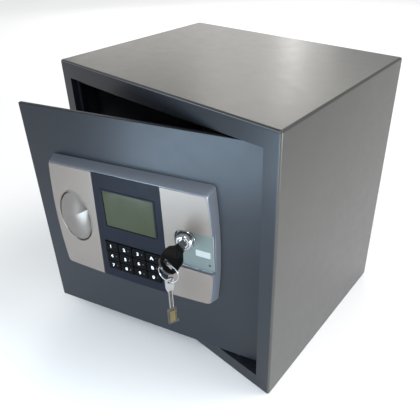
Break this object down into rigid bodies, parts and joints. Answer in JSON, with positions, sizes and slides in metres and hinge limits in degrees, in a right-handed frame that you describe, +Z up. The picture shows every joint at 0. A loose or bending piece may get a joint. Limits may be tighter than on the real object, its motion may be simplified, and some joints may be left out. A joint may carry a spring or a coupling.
{
  "type": "in-room safe",
  "caption": "Electronic in-room safe: steel box with an inset pivot-hinged door, display, keypad, finger pull, motor-driven bolts and an emergency key lock.",
  "frame": {"origin": "centre of the underside, on the surface the safe stands on", "axes": "+Z up, -Y out of the front, +X to the right seen from the front; +Y is the wall side"},
  "size_m": [0.38, 0.3897, 0.392],
  "materials": {
    "grey_paint": "semi-gloss metallic grey powder coat",
    "door_paint": "semi-gloss dark blue-grey powder coat",
    "bare_steel": "turned and ground",
    "zinc": "zinc plated",
    "silver_plastic": "satin silver paint",
    "navy_plastic": "fine satin",
    "key_plastic": "satin",
    "black_plastic": "fine grain",
    "recess_plastic": "satin",
    "lcd_glass": "clear window over an olive display",
    "lcd_panel": "olive reflective display",
    "board": "green solder mask",
    "chrome": "polished",
    "brass": "machined",
    "felt": "needle felt",
    "cell": "shrink wrap",
    "red_plastic": "smooth"
  },
  "bodies": {
    "carcase": {"carcase_wrap": "grey_paint", "front_frame": "grey_paint", "rear_panel": "grey_paint", "floor_mat": "felt", "upper_hinge_pin": "zinc", "lower_hinge_pin": "zinc"},
    "door": {"door_plate": "door_paint", "door_pan": "door_paint", "inner_cover": "door_paint", "cover_screw_1": "zinc", "cover_screw_2": "zinc", "cover_screw_3": "zinc", "cover_screw_4": "zinc", "upper_hinge_collar": "zinc", "lower_hinge_collar": "zinc", "upper_bolt_guide": "black_plastic", "lower_bolt_guide": "black_plastic", "guide_post": "zinc", "gear_motor": "zinc", "circuit_board": "board", "battery_tray": "black_plastic", "battery_1": "cell", "battery_2": "cell", "battery_3": "cell", "battery_4": "cell", "panel_left": "silver_plastic", "panel_centre": "navy_plastic", "panel_right": "silver_plastic", "finger_pull": "silver_plastic", "lcd_window": "lcd_glass", "lcd_module": "lcd_panel", "keypad_board": "board", "lock_recess_floor": "recess_plastic", "lock_barrel": "chrome", "lock_nut": "zinc"},
    "bolt_work": {"bolt_carriage": "zinc", "lower_bolt": "bare_steel", "upper_bolt": "bare_steel"},
    "pinion": {"motor_pinion": "brass"},
    "plug": {"lock_plug": "chrome", "lock_cam": "zinc", "key_blade": "bare_steel", "key_bow": "black_plastic"},
    "ring": {"key_ring": "chrome"},
    "spare": {"spare_key": "bare_steel"},
    "reset": {"reset_button": "red_plastic"},
    "battery_lid": {"battery_cover": "black_plastic"},
    "key_1_body": {"key_1": "key_plastic"},
    "key_2_body": {"key_2": "key_plastic"},
    "key_3_body": {"key_3": "key_plastic"},
    "key_a_body": {"key_a": "key_plastic"},
    "key_4_body": {"key_4": "key_plastic"},
    "key_5_body": {"key_5": "key_plastic"},
    "key_6_body": {"key_6": "key_plastic"},
    "key_b_body": {"key_b": "key_plastic"},
    "key_7_body": {"key_7": "key_plastic"},
    "key_8_body": {"key_8": "key_plastic"},
    "key_9_body": {"key_9": "key_plastic"},
    "key_0_body": {"key_0": "key_plastic"}
  },
  "joints": [
    {"name": "door_hinge", "type": "hinge", "parent": "carcase", "child": "door", "pos_m": [0.1312, -0.135, 0.19], "axis": [0, 0, 1], "range_deg": [-18.5, 81.5]},
    {"name": "bolt_slide", "type": "slide", "parent": "door", "child": "bolt_work", "axis": [-0.9483, -0.3173, 0], "range_m": [0, 0.02]},
    {"name": "pinion_spin", "type": "hinge", "parent": "door", "child": "pinion", "pos_m": [-0.01504, -0.17444, 0.1909], "axis": [0.3173, -0.9483, 0], "range_deg": [0, 144]},
    {"name": "plug_turn", "type": "hinge", "parent": "door", "child": "plug", "pos_m": [0.08389, -0.18489, 0.225], "axis": [-0.3173, 0.9483, 0], "range_deg": [0, 90.5]},
    {"name": "ring_swing", "type": "hinge", "parent": "plug", "child": "ring", "pos_m": [0.09578, -0.22045, 0.225], "axis": [0.3173, -0.9483, 0], "range_deg": [-2, 92]},
    {"name": "spare_swing", "type": "hinge", "parent": "ring", "child": "spare", "pos_m": [0.09578, -0.22045, 0.2], "axis": [0.9483, 0.3173, 0], "range_deg": [-25, 25]},
    {"name": "reset_press", "type": "slide", "parent": "door", "child": "reset", "axis": [0.3173, -0.9483, 0], "range_m": [0, 0.001], "stiffness_N_per_m": 400},
    {"name": "battery_lid_pull", "type": "slide", "parent": "door", "child": "battery_lid", "axis": [-0.3173, 0.9483, 0], "range_m": [0, 0.03]},
    {"name": "key_1_press", "type": "slide", "parent": "door", "child": "key_1_body", "axis": [-0.3173, 0.9483, 0], "range_m": [0, 0.0012], "stiffness_N_per_m": 400},
    {"name": "key_2_press", "type": "slide", "parent": "door", "child": "key_2_body", "axis": [-0.3173, 0.9483, 0], "range_m": [0, 0.0012], "stiffness_N_per_m": 400},
    {"name": "key_3_press", "type": "slide", "parent": "door", "child": "key_3_body", "axis": [-0.3173, 0.9483, 0], "range_m": [0, 0.0012], "stiffness_N_per_m": 400},
    {"name": "key_a_press", "type": "slide", "parent": "door", "child": "key_a_body", "axis": [-0.3173, 0.9483, 0], "range_m": [0, 0.0012], "stiffness_N_per_m": 400},
    {"name": "key_4_press", "type": "slide", "parent": "door", "child": "key_4_body", "axis": [-0.3173, 0.9483, 0], "range_m": [0, 0.0012], "stiffness_N_per_m": 400},
    {"name": "key_5_press", "type": "slide", "parent": "door", "child": "key_5_body", "axis": [-0.3173, 0.9483, 0], "range_m": [0, 0.0012], "stiffness_N_per_m": 400},
    {"name": "key_6_press", "type": "slide", "parent": "door", "child": "key_6_body", "axis": [-0.3173, 0.9483, 0], "range_m": [0, 0.0012], "stiffness_N_per_m": 400},
    {"name": "key_b_press", "type": "slide", "parent": "door", "child": "key_b_body", "axis": [-0.3173, 0.9483, 0], "range_m": [0, 0.0012], "stiffness_N_per_m": 400},
    {"name": "key_7_press", "type": "slide", "parent": "door", "child": "key_7_body", "axis": [-0.3173, 0.9483, 0], "range_m": [0, 0.0012], "stiffness_N_per_m": 400},
    {"name": "key_8_press", "type": "slide", "parent": "door", "child": "key_8_body", "axis": [-0.3173, 0.9483, 0], "range_m": [0, 0.0012], "stiffness_N_per_m": 400},
    {"name": "key_9_press", "type": "slide", "parent": "door", "child": "key_9_body", "axis": [-0.3173, 0.9483, 0], "range_m": [0, 0.0012], "stiffness_N_per_m": 400},
    {"name": "key_0_press", "type": "slide", "parent": "door", "child": "key_0_body", "axis": [-0.3173, 0.9483, 0], "range_m": [0, 0.0012], "stiffness_N_per_m": 400}
  ],
  "couplings": [
    {"joint": "pinion_spin", "follows": "bolt_slide", "rad_per_m": 125},
    {"joint": "plug_turn", "follows": "bolt_slide", "rad_per_m": 78.54}
  ]
}
